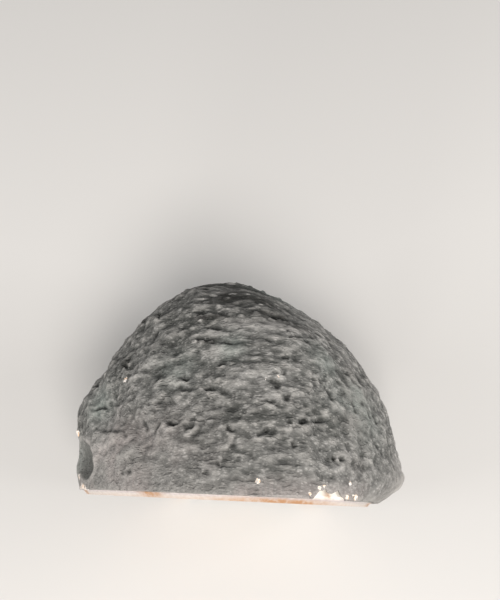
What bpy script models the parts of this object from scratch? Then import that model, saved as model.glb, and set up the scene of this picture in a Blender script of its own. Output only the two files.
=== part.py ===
"""Citrine geode: half a nodule that stands on a sawn base.

Metres, +Z up. The polished front faces -Y and the rough back +Y. The origin is on the sawn base, under the stone.
Three solids grow one inside the next: the rough rind, the pale quartz wall with the polished rim, and the crust
of citrine points that lines the hollow.
"""

import math
import random

import bmesh
import bpy
import numpy as np
from mathutils import Matrix, Vector, noise

# The whole stone
WIDTH = 0.151
HEIGHT = 0.162
DEPTH = 0.107
FACE_Y = -0.044  # the polished front is the plane y = FACE_Y
WIDEST = 0.072  # height of the nodule's widest level
BELOW = 0.0875  # how far the nodule reached below that level before its base was sawn off
HEART = np.array((0.0, FACE_Y, WIDEST))
FULLNESS = 2.2  # 2 would be an ellipsoid, and more is squarer
LEAN = 0.0905  # how far the back leans to the left for each metre behind the face

# Flattened sides of the nodule: (direction, distance from the heart)
FLATS = (
    ((0.05, 0.90, -0.30), 0.1142),
    ((0.22, 0.92, 0.31), 0.1146),
    ((0.55, 0.75, 0.30), 0.0978),
    ((-0.45, 0.30, 0.84), 0.0863),
    ((-0.70, 0.70, 0.10), 0.0965),
    ((0.456, -0.890, 0.108), 0.0279),
)
FLAT_SHARPNESS = 14.0

# Swellings and dents that all the layers follow: (place, height, spread along X, Y and Z)
SWELLS = (
    ((-0.074, -0.0102, 0.095), 0.00505, (0.0140, 0.0140, 0.0140)),
    ((0.073, -0.0311, 0.097), 0.0017, (0.010, 0.004, 0.012)),
    ((0.073, -0.023, 0.095), -0.0013, (0.020, 0.010, 0.035)),
    ((-0.060, -0.010, 0.122), -0.0030, (0.010, 0.010, 0.010)),
    ((0.020, 0.015, 0.142), 0.0020, (0.014, 0.014, 0.014)),
    ((-0.077, -0.034, 0.0934), 0.0020, (0.010, 0.0084, 0.022)),
)
# A shell-shaped scar near the rim: the hollow that a stretched ball leaves
SCAR_PLACE = np.array((-0.0801, -0.0281, 0.1070))
SCAR_RADIUS = 0.01124
SCAR_STRETCH = 2.4
SCAR_ALONG = np.array((0.500, -0.241, 0.832))

# Layers
RIND = 0.0040
RIND_AT_RIM = 0.0012
THINNEST_RIND = 0.0009
RIM_BAND = 0.016  # beside the polished rim the rind thins out and turns smooth
GAP = 0.0003
BEVEL = 0.0018

# The hollow
HOLLOW_HEART = np.array((-0.0060, FACE_Y, 0.0805))
HOLLOW_ACROSS = 0.0500
HOLLOW_UP = 0.0620
HOLLOW_DOWN = 0.0590
HOLLOW_DEPTH = 0.0800
HOLLOW_WAVES = 0.0030
HOLLOW_WAVE_LENGTH = 0.035

# The rind's own relief
LUMP_LENGTH = np.array((0.0170, 0.0095, 0.0095))
LUMP_HEIGHT = 0.0017
# Ledges: (one end, other end, depth). The surface drops behind each one's lip.
LEDGES = (
    ((0.0137, -0.0146, 0.1567), (0.0306, -0.0121, 0.1493), 0.0024),
    ((0.0027, -0.0200, 0.1585), (0.0115, -0.0181, 0.1578), 0.0020),
    ((0.0056, -0.0075, 0.1558), (0.0167, -0.0036, 0.1531), 0.0018),
    ((-0.0340, -0.0156, 0.1443), (-0.0262, -0.0160, 0.1484), 0.0020),
    ((-0.0103, -0.0182, 0.1557), (-0.0039, -0.0184, 0.1572), 0.0018),
    ((-0.0300, 0.0018, 0.1414), (-0.0052, -0.0038, 0.1530), 0.0019),
    ((-0.0243, 0.0198, 0.1373), (-0.0030, 0.0160, 0.1462), 0.0020),
    ((-0.0250, 0.0333, 0.1296), (-0.0054, 0.0318, 0.1365), 0.0019),
    ((0.0017, 0.0310, 0.1373), (0.0147, 0.0300, 0.1333), 0.0024),
    ((-0.0108, -0.0250, 0.1568), (-0.0020, -0.0272, 0.1591), 0.0015),
    ((0.0297, -0.0321, 0.1537), (0.0382, -0.0255, 0.1474), 0.0015),
    ((-0.0548, 0.0089, 0.1202), (-0.0548, 0.0120, 0.1200), 0.0024),
    ((-0.0440, 0.0333, 0.1155), (-0.0410, 0.0353, 0.1165), 0.0024),
    ((-0.0370, 0.0531, 0.0804), (0.0153, 0.0539, 0.0761), 0.0022),
    ((0.0422, 0.0340, 0.0857), (0.0623, 0.0097, 0.0699), 0.0022),
    ((-0.0205, 0.0565, 0.0474), (0.0242, 0.0468, 0.0411), 0.0020),
    ((-0.0718, 0.0077, 0.0646), (-0.0612, 0.0282, 0.0545), 0.0022),
)
LEDGE_WIDTH = 0.0019
LIP = 0.55  # a lip's height, as a share of its ledge's depth

# A chip out of the rind at the rim, which bares the quartz: its outline from above
CHIP = ((0.0238, -0.046), (0.0275, -0.0386), (0.0296, -0.0381), (0.0320, -0.0398), (0.0347, -0.0385), (0.0386, -0.046))
CHIP_FOOT = 0.135
CHIP_TOP = 0.170

# Citrine points
CRYSTALS = 64
CRUST = 0.0022
POINT_RADIUS = (0.0080, 0.0125)
POINT_RISE = (0.0005, 0.0050)
POINT_TILT = 0.42
POINT_ROOT = 0.010
RHOMB_SLOPE = math.radians(51.8)  # slope of quartz's end faces, measured from the base of the prism
SEED = 11

# Fineness of the solids
RIND_BALL = 6
RIND_TRIANGLES = 3450
WALL_RINGS = 10
WALL_SEGMENTS = 44
HOLLOW_RINGS = 7
HOLLOW_SEGMENTS = 32
HAIR = 0.0001  # keeps the rind's front off the edge of the bevel
SHORTEST = 0.0008  # edges shorter than this, left by a saw cut, are closed up


# ---------------------------------------------------------------- the stone's form, as distances from its heart


def front_radius(d):
    """Distance from the heart to the outline of the front, for the unit directions d."""
    upright = np.where(d[:, 2] > 0, HEIGHT - WIDEST, BELOW)
    turn = np.arctan2(d[:, 2], d[:, 0])
    return 1 / np.hypot(np.cos(turn) / (WIDTH / 2), np.sin(turn) / upright)


def place(d, radius, heart=HEART):
    """Points at these distances from the heart, with the back leaning to the left."""
    points = d * radius[:, None]
    points[:, 0] -= LEAN * points[:, 1]
    return points + heart


def nodule_radius(d):
    """Distance from the heart to the nodule's large form: full sides, flats, swellings and the scar."""
    sideways = np.hypot(d[:, 0], d[:, 2])
    rounded = (sideways / front_radius(d)) ** FULLNESS + (np.abs(d[:, 1]) / DEPTH) ** FULLNESS
    crowded = rounded ** (FLAT_SHARPNESS / FULLNESS)
    for direction, distance in FLATS:
        normal = np.array(direction) / np.linalg.norm(direction)
        crowded += (np.clip(d @ normal, 0, None) / distance) ** FLAT_SHARPNESS
    radius = crowded ** (-1 / FLAT_SHARPNESS)
    points = place(d, radius)
    for centre, height, spread in SWELLS:
        away = (points - np.array(centre)) / np.array(spread)
        radius = radius + height * np.exp(-(away**2).sum(axis=1))
    return scarred(d, radius)


def scarred(d, radius):
    """The same distances, cut back to where a line from the heart enters the scar's stretched ball."""
    middle = SCAR_PLACE - HEART
    middle = middle + np.array((LEAN * middle[1], 0, 0))
    squeeze = np.eye(3) - (1 - 1 / SCAR_STRETCH) * np.outer(SCAR_ALONG, SCAR_ALONG)
    ray, centre = d @ squeeze, squeeze @ middle
    length, along = (ray**2).sum(axis=1), ray @ centre
    inside = along**2 - length * (centre @ centre - SCAR_RADIUS**2)
    entered = (along - np.sqrt(np.clip(inside, 0, None))) / length
    return np.where((inside > 0) & (along > 0), np.minimum(radius, entered), radius)


def behind_rim(points):
    """0 at the polished front, rising smoothly to 1 where the rim's smooth band ends."""
    share = np.clip(np.abs(points[:, 1] - FACE_Y) / RIM_BAND, 0, 1)
    return share * share * (3 - 2 * share)


def wall_radius(d):
    """Distance from the heart to the outside of the quartz wall."""
    radius = nodule_radius(d)
    inward = behind_rim(place(d, radius))
    return radius - RIND_AT_RIM - (RIND - RIND_AT_RIM) * inward


def lumps(points):
    """Height of the rind's lumps at these points, from -1 to 1."""
    scaled = points / LUMP_LENGTH
    return np.array([noise.fractal(Vector(p), 0.9, 2.1, 3) for p in scaled])


def ledges(points):
    """Relief of the ledges: a slot along each, and a lip in front of it."""
    relief = np.zeros(len(points))
    lip_shift = np.array((0, -1.7, 0.7)) * LEDGE_WIDTH
    for start, end, depth in LEDGES:
        a, b = np.array(start), np.array(end)
        for shift, height in ((np.zeros(3), -depth), (lip_shift, LIP * depth)):
            v = points - a - shift
            t = np.clip(v @ (b - a) / ((b - a) @ (b - a)), 0, 1)
            away = np.linalg.norm(v - t[:, None] * (b - a), axis=1)
            relief += height * np.exp(-((away / LEDGE_WIDTH) ** 2))
    return relief


def rind_radius(d):
    """Distance from the heart to the rough outside of the rind."""
    radius = nodule_radius(d)
    points = place(d, radius)
    rough = radius + behind_rim(points) * (LUMP_HEIGHT * lumps(points)) + ledges(points)
    return np.maximum(rough, wall_radius(d) + GAP + THINNEST_RIND)


def hollow_radius(d):
    """Distance from the hollow's heart to its wall."""
    upright = np.where(d[:, 2] > 0, HOLLOW_UP, HOLLOW_DOWN)
    radius = 1 / np.sqrt((d[:, 0] / HOLLOW_ACROSS) ** 2 + (d[:, 2] / upright) ** 2 + (d[:, 1] / HOLLOW_DEPTH) ** 2)
    waves = [noise.noise(Vector(p)) for p in place(d, radius, HOLLOW_HEART) / HOLLOW_WAVE_LENGTH]
    return radius + HOLLOW_WAVES * np.array(waves)


# ---------------------------------------------------------------- making and cutting solids


def clear_scene():
    for obj in list(bpy.data.objects):
        bpy.data.objects.remove(obj)


def ball(fineness, radius_of, heart=HEART, grown=0.0):
    """A closed mesh round the heart: a ball of triangles, each corner moved out to the form's radius."""
    bm = bmesh.new()
    bmesh.ops.create_icosphere(bm, subdivisions=fineness, radius=1.0)
    d = np.array([v.co.normalized() for v in bm.verts])
    for vertex, point in zip(bm.verts, place(d, radius_of(d) + grown, heart)):
        vertex.co = point
    return bm


def dome(radius_of, rings, segments, heart=HEART, grown=0.0):
    """The half of a closed form that lies behind the front's plane: rings from the front to the pole at the back.
    Returns the mesh and its foremost ring, the front's edge. The next ring lies a bevel's width behind it."""
    bm = bmesh.new()
    turn = 2 * math.pi * np.arange(segments) / segments
    slopes = [0.0, BEVEL / (WIDTH / 2)]
    slopes += [math.pi / 2 * k / rings for k in range(1, rings)]
    loops = []
    for slope in slopes:
        d = np.column_stack((math.cos(slope) * np.cos(turn), 0 * turn + math.sin(slope), math.cos(slope) * np.sin(turn)))
        loops.append([bm.verts.new(p) for p in place(d, radius_of(d) + grown, heart)])
    for vertex in loops[1]:
        vertex.co.y = FACE_Y + BEVEL
    back = np.array([(0.0, 1.0, 0.0)])
    pole = bm.verts.new(place(back, radius_of(back) + grown, heart)[0])
    for k in range(segments):
        after = (k + 1) % segments
        for loop, behind in zip(loops, loops[1:]):
            bm.faces.new((loop[k], loop[after], behind[after]))
            bm.faces.new((loop[k], behind[after], behind[k]))
        bm.faces.new((loops[-1][k], loops[-1][after], pole))
    bm.faces.new(loops[0])
    return bm, loops[0]


def thinned(bm, triangles):
    """The mesh with fewer triangles, kept where the surface bends most."""
    mesh = bpy.data.meshes.new("thinned")
    bm.to_mesh(mesh)
    obj = bpy.data.objects.new("thinned", mesh)
    bpy.context.collection.objects.link(obj)
    decimate = obj.modifiers.new("fewer triangles", "DECIMATE")
    decimate.ratio = triangles / len(bm.faces)
    bpy.context.view_layer.update()
    fewer = bpy.data.meshes.new_from_object(obj.evaluated_get(bpy.context.evaluated_depsgraph_get()))
    bpy.data.objects.remove(obj)
    bm.free()
    bm = bmesh.new()
    bm.from_mesh(fewer)
    return bm


def saw(bm, point, normal):
    """Cuts off what lies beyond the plane and closes the cut with one face. Returns that face's edges."""
    everything = bm.verts[:] + bm.edges[:] + bm.faces[:]
    cut = bmesh.ops.bisect_plane(bm, geom=everything, plane_co=point, plane_no=normal, clear_outer=True)
    around = [v for v in cut["geom_cut"] if isinstance(v, bmesh.types.BMVert)]
    bmesh.ops.remove_doubles(bm, verts=around, dist=SHORTEST)
    rim = [e for e in bm.edges if e.is_boundary]
    bmesh.ops.holes_fill(bm, edges=rim)
    return rim


def solid(name, bm, material):
    """The mesh as an object of its own, with its material."""
    bmesh.ops.recalc_face_normals(bm, faces=bm.faces[:])
    mesh = bpy.data.meshes.new(name)
    bm.to_mesh(mesh)
    bm.free()
    obj = bpy.data.objects.new(name, mesh)
    bpy.context.collection.objects.link(obj)
    if material:
        mesh.materials.append(material)
    return obj


def cutter(name, bm):
    obj = solid(name, bm, None)
    obj.hide_render = True
    obj.display_type = "WIRE"
    return obj


def boolean(obj, operation, other, with_itself=False):
    modifier = obj.modifiers.new(f"{operation.lower()} {other.name}", "BOOLEAN")
    modifier.operation = operation
    modifier.object = other
    modifier.use_self = with_itself


def material(name, colour, roughness, transmission=0.0):
    made = bpy.data.materials.new(name)
    made.use_nodes = True
    shader = made.node_tree.nodes["Principled BSDF"]
    shader.inputs["Base Color"].default_value = (*colour, 1.0)
    shader.inputs["Roughness"].default_value = roughness
    shader.inputs["Transmission Weight"].default_value = transmission
    made.diffuse_color = (*colour, 1.0)
    return made


# ---------------------------------------------------------------- the three layers


def make_rind():
    """The rough skin: the lumpy nodule, sawn at the front and the base, less the quartz inside it."""
    bm = thinned(ball(RIND_BALL, rind_radius), RIND_TRIANGLES * 2)
    saw(bm, (0, FACE_Y + BEVEL + HAIR, 0), (0, -1, 0))
    saw(bm, (0, 0, 0), (0, 0, -1))
    rind = solid("rind", bm, material("dark rind", (0.085, 0.095, 0.090), 0.9))
    room, _ = dome(wall_radius, WALL_RINGS, WALL_SEGMENTS, grown=GAP)
    boolean(rind, "DIFFERENCE", cutter("room for quartz", room))
    boolean(rind, "DIFFERENCE", cutter("chip", chip()))
    return rind


def chip():
    """A jagged upright wedge, with the chip's outline from above."""
    bm = bmesh.new()
    outline = [bm.verts.new((x, y, CHIP_FOOT)) for x, y in CHIP]
    bottom = bm.faces.new(outline)
    raised = bmesh.ops.extrude_face_region(bm, geom=[bottom])
    top = [v for v in raised["geom"] if isinstance(v, bmesh.types.BMVert)]
    bmesh.ops.translate(bm, verts=top, vec=(0, 0, CHIP_TOP - CHIP_FOOT))
    return bm


def make_quartz_wall():
    """The pale wall: its polished front is bevelled, its base sawn, and the hollow is open at the front."""
    bm, edge = dome(wall_radius, WALL_RINGS, WALL_SEGMENTS)
    for vertex in edge:
        vertex.co -= BEVEL * (vertex.co - Vector(HEART)).normalized()
    saw(bm, (0, 0, 0), (0, 0, -1))
    wall = solid("quartz_wall", bm, material("pale quartz", (0.62, 0.55, 0.47), 0.25))
    hollow, edge = dome(hollow_radius, HOLLOW_RINGS, HOLLOW_SEGMENTS, HOLLOW_HEART)
    for vertex in edge:
        vertex.co.y -= BEVEL
    boolean(wall, "DIFFERENCE", cutter("hollow", hollow))
    return wall


def crystal(radius, rise, rng):
    """A quartz point along +Z, rooted below the origin: a six-sided prism ended by six sloping faces,
    three of them nearer than the other three, as real points have."""
    bm = bmesh.new()
    tip = rise + 3 * radius
    bmesh.ops.create_cone(
        bm, cap_ends=True, segments=6, radius1=radius, radius2=radius, depth=tip + POINT_ROOT,
        matrix=Matrix.Translation((0, 0, (tip - POINT_ROOT) / 2)),
    )
    side = radius * math.cos(math.pi / 6)
    for k in range(6):
        turn = math.radians(30 + 60 * k)
        out = Vector((math.cos(turn), math.sin(turn), 0))
        normal = out * math.sin(RHOMB_SLOPE) + Vector((0, 0, math.cos(RHOMB_SLOPE)))
        later = rng.uniform(0.05, 0.30) * radius if k % 2 else 0.0
        saw(bm, out * side + Vector((0, 0, rise + later)), normal)
    return bm


def make_citrine_crust():
    """The crust: a bowl that fits the hollow, grown over with points, trimmed to the hollow and the front."""
    rng = random.Random(SEED)
    bm = ball(3, hollow_radius, HOLLOW_HEART, grown=0.004)
    inside = ball(2, hollow_radius, HOLLOW_HEART, grown=-CRUST)
    bmesh.ops.reverse_faces(inside, faces=inside.faces[:])
    join(bm, inside)
    golden = math.pi * (3 - math.sqrt(5))
    for k in range(CRYSTALS):
        back = -0.12 + 1.12 * (k + 0.5) / CRYSTALS
        ring = math.sqrt(1 - back * back)
        turn = golden * k
        d = np.array([(ring * math.cos(turn), back, ring * math.sin(turn))])
        root = Vector(place(d, hollow_radius(d) - CRUST, HOLLOW_HEART)[0])
        inward = -Vector(d[0]) + POINT_TILT * Vector([rng.uniform(-1, 1) for _ in range(3)])
        point = crystal(rng.uniform(*POINT_RADIUS), rng.uniform(*POINT_RISE), rng)
        turned = inward.to_track_quat("Z", "Y").to_matrix().to_4x4() @ Matrix.Rotation(rng.uniform(0, math.pi), 4, "Z")
        bmesh.ops.transform(point, matrix=Matrix.Translation(root) @ turned, verts=point.verts)
        join(bm, point)
    crust = solid_unchecked("citrine_crust", bm, material("citrine", (0.75, 0.33, 0.05), 0.08, 0.6))
    room, _ = dome(hollow_radius, HOLLOW_RINGS, HOLLOW_SEGMENTS, HOLLOW_HEART, grown=-GAP)
    boolean(crust, "INTERSECT", cutter("room for crust", room), with_itself=True)
    return without_pockets(crust)


def without_pockets(obj):
    """The object with its modifiers applied, and without the pockets that crossing points close off inside it."""
    bpy.context.view_layer.update()
    bm = bmesh.new()
    bm.from_object(obj, bpy.context.evaluated_depsgraph_get())
    unseen = set(bm.verts)
    shells = []
    while unseen:
        shell = {unseen.pop()}
        edge_of_shell = set(shell)
        while edge_of_shell:
            edge_of_shell = {e.other_vert(v) for v in edge_of_shell for e in v.link_edges} - shell
            shell |= edge_of_shell
        unseen -= shell
        shells.append(shell)
    shells.sort(key=len)
    bmesh.ops.delete(bm, geom=[v for shell in shells[:-1] for v in shell], context="VERTS")
    obj.modifiers.clear()
    bm.to_mesh(obj.data)
    bm.free()
    return obj


def join(bm, other):
    """Adds the other mesh's faces to bm, and frees it."""
    mesh = bpy.data.meshes.new("joined")
    other.to_mesh(mesh)
    other.free()
    bm.from_mesh(mesh)
    bpy.data.meshes.remove(mesh)


def solid_unchecked(name, bm, made_of):
    """An object from a mesh whose faces already point the right way, such as a bowl of two nested balls."""
    mesh = bpy.data.meshes.new(name)
    bm.to_mesh(mesh)
    bm.free()
    obj = bpy.data.objects.new(name, mesh)
    bpy.context.collection.objects.link(obj)
    mesh.materials.append(made_of)
    return obj


def main():
    clear_scene()
    make_rind()
    make_quartz_wall()
    make_citrine_crust()


main()
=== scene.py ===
"""Citrine geode: the dressed model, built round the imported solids."""

import math
import random

import bpy
import numpy as np
from mathutils import Matrix, Vector, noise


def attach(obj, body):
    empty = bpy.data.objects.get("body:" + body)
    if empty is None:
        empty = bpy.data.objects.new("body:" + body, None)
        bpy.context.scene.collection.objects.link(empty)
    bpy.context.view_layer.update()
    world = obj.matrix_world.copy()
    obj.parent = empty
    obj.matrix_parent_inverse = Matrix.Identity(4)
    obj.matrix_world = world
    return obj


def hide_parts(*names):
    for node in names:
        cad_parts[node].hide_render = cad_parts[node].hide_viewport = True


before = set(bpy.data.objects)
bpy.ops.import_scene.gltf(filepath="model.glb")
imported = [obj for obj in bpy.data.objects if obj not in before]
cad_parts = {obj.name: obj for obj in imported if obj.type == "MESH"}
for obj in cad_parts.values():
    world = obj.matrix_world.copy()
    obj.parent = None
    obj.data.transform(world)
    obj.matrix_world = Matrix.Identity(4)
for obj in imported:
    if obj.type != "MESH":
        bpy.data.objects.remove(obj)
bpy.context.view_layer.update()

# ------------------------------------------------------------------ Camera
# It looks down from above, along the polished front, so that the front is seen edge-on and the rough back
# fills the view. It leans back a little from straight down and is turned a little about its line of sight.
CAMERA_PLACE = (-0.0015, -0.044, 0.421)
CAMERA_TILT = math.radians(16.06)
CAMERA_ROLL = math.radians(2.63)
CAMERA_LENS = 42.0

camera_data = bpy.data.cameras.new("camera")
camera_data.lens = CAMERA_LENS
camera_data.clip_start = 0.01
camera = bpy.data.objects.new("camera", camera_data)
bpy.context.collection.objects.link(camera)
camera.location = CAMERA_PLACE
camera_turn = Matrix.Rotation(CAMERA_TILT, 3, "X") @ Matrix.Rotation(CAMERA_ROLL, 3, "Z")
camera.rotation_euler = camera_turn.to_euler()
bpy.context.scene.camera = camera


# ------------------------------------------------------------------ Rind
# The rind is the skin of the nodule: weathered grey-green basalt and clay, left as it came out of the rock,
# with ledges, pits and small pale grains. Beside the polished rim the saw and the grinding wheel have left it
# thin, smooth and dusty. One piece, sawn flat at the front and under the base.
WIDTH = 0.151
HEIGHT = 0.162
DEPTH = 0.107
FACE_Y = -0.044  # the polished front is the plane y = FACE_Y
WIDEST = 0.072  # the height at which the nodule is widest
BELOW = 0.0875  # how far the nodule reached below that height before its base was sawn
HEART = np.array((0.0, FACE_Y, WIDEST))
FULLNESS = 2.2  # 2 is an ellipsoid, more is fuller
LEAN = 0.0905  # how far the back leans to the left, as a share of its depth
BEVEL = 0.0018

# Flattened sides of the nodule: (direction, distance from the heart)
FLATS = (
    ((0.05, 0.90, -0.30), 0.1142),
    ((0.22, 0.92, 0.31), 0.1146),
    ((0.55, 0.75, 0.30), 0.0978),
    ((-0.45, 0.30, 0.84), 0.0863),
    ((-0.70, 0.70, 0.10), 0.0965),
    ((0.456, -0.890, 0.108), 0.0279),
)
FLAT_SHARPNESS = 14.0

# Swellings and dents: (place, height, spread along X, Y and Z)
SWELLS = (
    ((-0.074, -0.0102, 0.095), 0.00505, (0.0140, 0.0140, 0.0140)),
    ((0.073, -0.0311, 0.097), 0.0017, (0.010, 0.004, 0.012)),
    ((0.073, -0.023, 0.095), -0.0013, (0.020, 0.010, 0.035)),
    ((-0.060, -0.010, 0.122), -0.0030, (0.010, 0.010, 0.010)),
    ((0.020, 0.015, 0.142), 0.0020, (0.014, 0.014, 0.014)),
    ((-0.077, -0.034, 0.0934), 0.0020, (0.010, 0.0084, 0.022)),
)

# The scar of a flake that sprang off beside the rim: the hollow that a stretched ball leaves
SCAR_PLACE = np.array((-0.0801, -0.0281, 0.1070))
SCAR_RADIUS = 0.01124
SCAR_STRETCH = 2.4
SCAR_ALONG = np.array((0.500, -0.241, 0.832))

RIND = 0.0040
RIND_AT_RIM = 0.0012
THINNEST_RIND = 0.0007
RIM_BAND = 0.016
SEATED = 0.0002  # how far one layer reaches into the next, so that no gap shows between them


def place(d, radius, heart=HEART):
    """Points at these distances from the heart, with the back leaning to the left."""
    points = d * radius[:, None]
    points[:, 0] -= LEAN * points[:, 1]
    return points + heart


def seen_from_heart(points, heart=HEART):
    """The reverse of place(): unit directions and distances of these points."""
    away = points - heart
    away[:, 0] += LEAN * away[:, 1]
    distance = np.linalg.norm(away, axis=1)
    return away / distance[:, None], distance


def front_radius(d):
    upright = np.where(d[:, 2] > 0, HEIGHT - WIDEST, BELOW)
    turn = np.arctan2(d[:, 2], d[:, 0])
    return 1 / np.hypot(np.cos(turn) / (WIDTH / 2), np.sin(turn) / upright)


def scarred(d, radius, wider=0.0):
    """The same distances, cut back to where a line from the heart enters the scar's stretched ball."""
    middle = SCAR_PLACE - HEART
    middle = middle + np.array((LEAN * middle[1], 0, 0))
    squeeze = np.eye(3) - (1 - 1 / SCAR_STRETCH) * np.outer(SCAR_ALONG, SCAR_ALONG)
    ray, centre = d @ squeeze, squeeze @ middle
    length, along = (ray**2).sum(axis=1), ray @ centre
    inside = along**2 - length * (centre @ centre - (SCAR_RADIUS + wider) ** 2)
    entered = (along - np.sqrt(np.clip(inside, 0, None))) / length
    return np.where((inside > 0) & (along > 0), np.minimum(radius, entered), radius)


def whole_radius(d):
    """Distance from the heart to the nodule's large form before the flake sprang off it."""
    sideways = np.hypot(d[:, 0], d[:, 2])
    rounded = (sideways / front_radius(d)) ** FULLNESS + (np.abs(d[:, 1]) / DEPTH) ** FULLNESS
    crowded = rounded ** (FLAT_SHARPNESS / FULLNESS)
    for direction, distance in FLATS:
        normal = np.array(direction) / np.linalg.norm(direction)
        crowded += (np.clip(d @ normal, 0, None) / distance) ** FLAT_SHARPNESS
    radius = crowded ** (-1 / FLAT_SHARPNESS)
    points = place(d, radius)
    for centre, height, spread in SWELLS:
        away = (points - np.array(centre)) / np.array(spread)
        radius = radius + height * np.exp(-(away**2).sum(axis=1))
    return radius


def nodule_radius(d):
    return scarred(d, whole_radius(d))


def behind_rim(points, band=RIM_BAND):
    """0 at the polished front, rising smoothly to 1 where a band of this width ends."""
    share = np.clip(np.abs(points[:, 1] - FACE_Y) / band, 0, 1)
    return share * share * (3 - 2 * share)


def wall_radius(d):
    """Distance from the heart to the outside of the quartz wall."""
    radius = nodule_radius(d)
    return radius - RIND_AT_RIM - (RIND - RIND_AT_RIM) * behind_rim(place(d, radius))


def widening(d):
    """How fast the nodule widens behind the front, in these directions from the heart."""
    turn = np.arctan2(d[:, 2], d[:, 0])
    back = np.column_stack((np.cos(turn), np.full(len(d), 0.05), np.sin(turn)))
    back /= np.linalg.norm(back, axis=1)[:, None]
    flat = np.column_stack((np.cos(turn), 0 * turn, np.sin(turn)))
    reached = nodule_radius(back)
    return (reached * np.hypot(back[:, 0], back[:, 2]) - nodule_radius(flat)) / (reached * back[:, 1])


# Relief of the rind: lengths of its lumps, knobs, grains and ripples along X, Y and Z, and their heights
LUMP_LENGTH = np.array((0.0170, 0.0095, 0.0095))
LUMP_HEIGHT = 0.0015
KNOB_LENGTH = np.array((0.0052, 0.0026, 0.0026))
KNOB_HEIGHT = 0.00041
GRAIN_LENGTH = np.array((0.0036, 0.0023, 0.0023))
GRAIN_HEIGHT = 0.00078
RIPPLE_LENGTH = np.array((0.0150, 0.0038, 0.0038))
RIPPLE_HEIGHT = 0.00046
PATCH_LENGTH = 0.022
STRUCK = np.array((-0.0760, -0.0380, 0.0900))  # curved ribs run round this place in the scar
RIB_LENGTH = 0.0034
RIB_HEIGHT = 0.00013
ROUGH_BEHIND = 0.010  # the rim's edge itself is smooth, and the roughness has set in this far behind it
CALM_BEHIND = 0.060  # the rind gets rougher from the rim to this far behind it
CALM = 0.30  # roughness beside the rim, as a share of the roughness at the back

# How ledges and seams stray from straight: (length, distance)
WANDERS = ((0.0045, 0.0012), (0.0019, 0.0007))
CRUMBLING = 0.0038  # length of the stretches over which a ledge grows deep or fades

# Ledges, each a slot behind a raised lip: (one end, other end, depth), in millimetres
LEDGES = (
    ((-52.6, 32.9, 102.1), (-48.2, 31.9, 112.0), 1.8), ((-43.1, 36.8, 113.0), (-40.4, 31.8, 120.7), 2.4),
    ((-56.8, 11.5, 117.6), (-53.2, 9.1, 122.6), 2.6), ((-24.6, 32.4, 130.7), (-15.7, 33.2, 133.7), 1.6),
    ((-15.7, 33.2, 133.7), (-9.7, 32.2, 135.9), 1.3), ((-1.3, 33.5, 135.2), (14.2, 31.5, 131.9), 2.6),
    ((-18.9, 25.1, 137.5), (-12.9, 24.9, 139.7), 1.5), ((-23.3, 19.6, 138.2), (-6.9, 16.8, 145.3), 1.8),
    ((15.3, 21.4, 142.6), (20.2, 22.4, 139.3), 1.5), ((21.0, 20.7, 140.5), (24.0, 20.5, 138.4), 1.5),
    ((-30.3, 3.5, 140.7), (-24.5, 1.9, 144.2), 1.5), ((-29.0, -1.8, 143.1), (-20.3, -2.5, 147.6), 1.4),
    ((-17.5, -1.9, 148.6), (-8.6, -3.3, 152.3), 2.2), ((5.6, -7.5, 155.8), (10.8, -6.3, 155.1), 1.8),
    ((10.8, -6.3, 155.1), (16.7, -3.6, 153.1), 1.4), ((13.7, -14.6, 156.7), (15.9, -14.5, 156.2), 2.6),
    ((19.4, -14.8, 155.3), (24.9, -12.8, 152.6), 2.8), ((24.9, -12.8, 152.6), (30.6, -12.1, 149.3), 2.2),
    ((3.5, -19.8, 158.5), (11.1, -18.2, 157.9), 1.9), ((-33.3, -15.5, 144.6), (-27.4, -16.0, 147.9), 2.2),
    ((-24.7, -16.9, 149.5), (-21.1, -17.3, 151.3), 1.8), ((-8.1, -18.2, 156.3), (-5.5, -18.3, 157.0), 2.1),
    ((31.8, -4.1, 146.0), (33.5, -4.1, 144.8), 1.6), ((-9.2, -36.9, 159.0), (-1.7, -35.4, 160.3), 1.1),
    ((-13.8, -31.0, 156.9), (-10.3, -31.6, 158.1), 1.2), ((-6.4, -24.9, 158.1), (-3.8, -25.4, 158.7), 1.6),
    ((16.8, -22.1, 157.5), (18.1, -22.4, 157.2), 1.8), ((32.5, -27.2, 151.6), (33.5, -26.3, 150.7), 1.9),
    ((35.0, -27.6, 150.0), (36.9, -26.4, 148.5), 1.8), ((-48.5, -35.4, 138.2), (-44.5, -35.0, 141.3), 0.9),
    ((-67.3, -16.8, 113.1), (-50.4, -18.4, 133.8), 1.1), ((-50.4, -18.4, 133.8), (-48.5, -21.7, 136.1), 1.4),
    ((-44.2, -10.4, 136.6), (-40.0, -18.7, 141.4), 1.1), ((-69.5, -8.2, 109.3), (-58.6, -6.4, 119.5), 1.5),
    ((-37.2, -21.1, 143.7), (-34.4, -16.4, 144.3), 0.9), ((-70.7, 3.8, 98.5), (-67.5, 4.5, 105.5), 1.4),
    ((39.8, 10.5, 130.4), (42.9, 7.0, 129.5), 1.4), ((42.9, 7.0, 129.5), (46.1, 3.6, 128.0), 1.3),
    ((42.2, 1.7, 134.0), (43.2, -9.5, 138.5), 0.8), ((14.3, 32.3, 130.8), (14.3, 23.6, 141.0), 1.3),
    ((-37.0, 53.1, 80.4), (15.3, 53.9, 76.1), 1.6), ((42.2, 34.0, 85.7), (62.3, 9.7, 69.9), 1.8),
    ((-20.5, 56.5, 47.4), (24.2, 46.8, 41.1), 1.6), ((-71.8, 7.7, 64.6), (-61.2, 28.2, 54.5), 1.8),
)
LEDGE_WIDTH = 0.0011
LIP_SHIFT = np.array((0.0, -0.0022, 0.0010))
LIP_WIDTH = 0.0019
LIP_HEIGHT = 0.38  # as a share of the ledge's depth
SMALL_LEDGES = 620
SMALL_LEDGE_SEED = 23
SMALL_LEDGE_HALVES = (0.0008, 0.0032)  # shortest and longest half length
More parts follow.
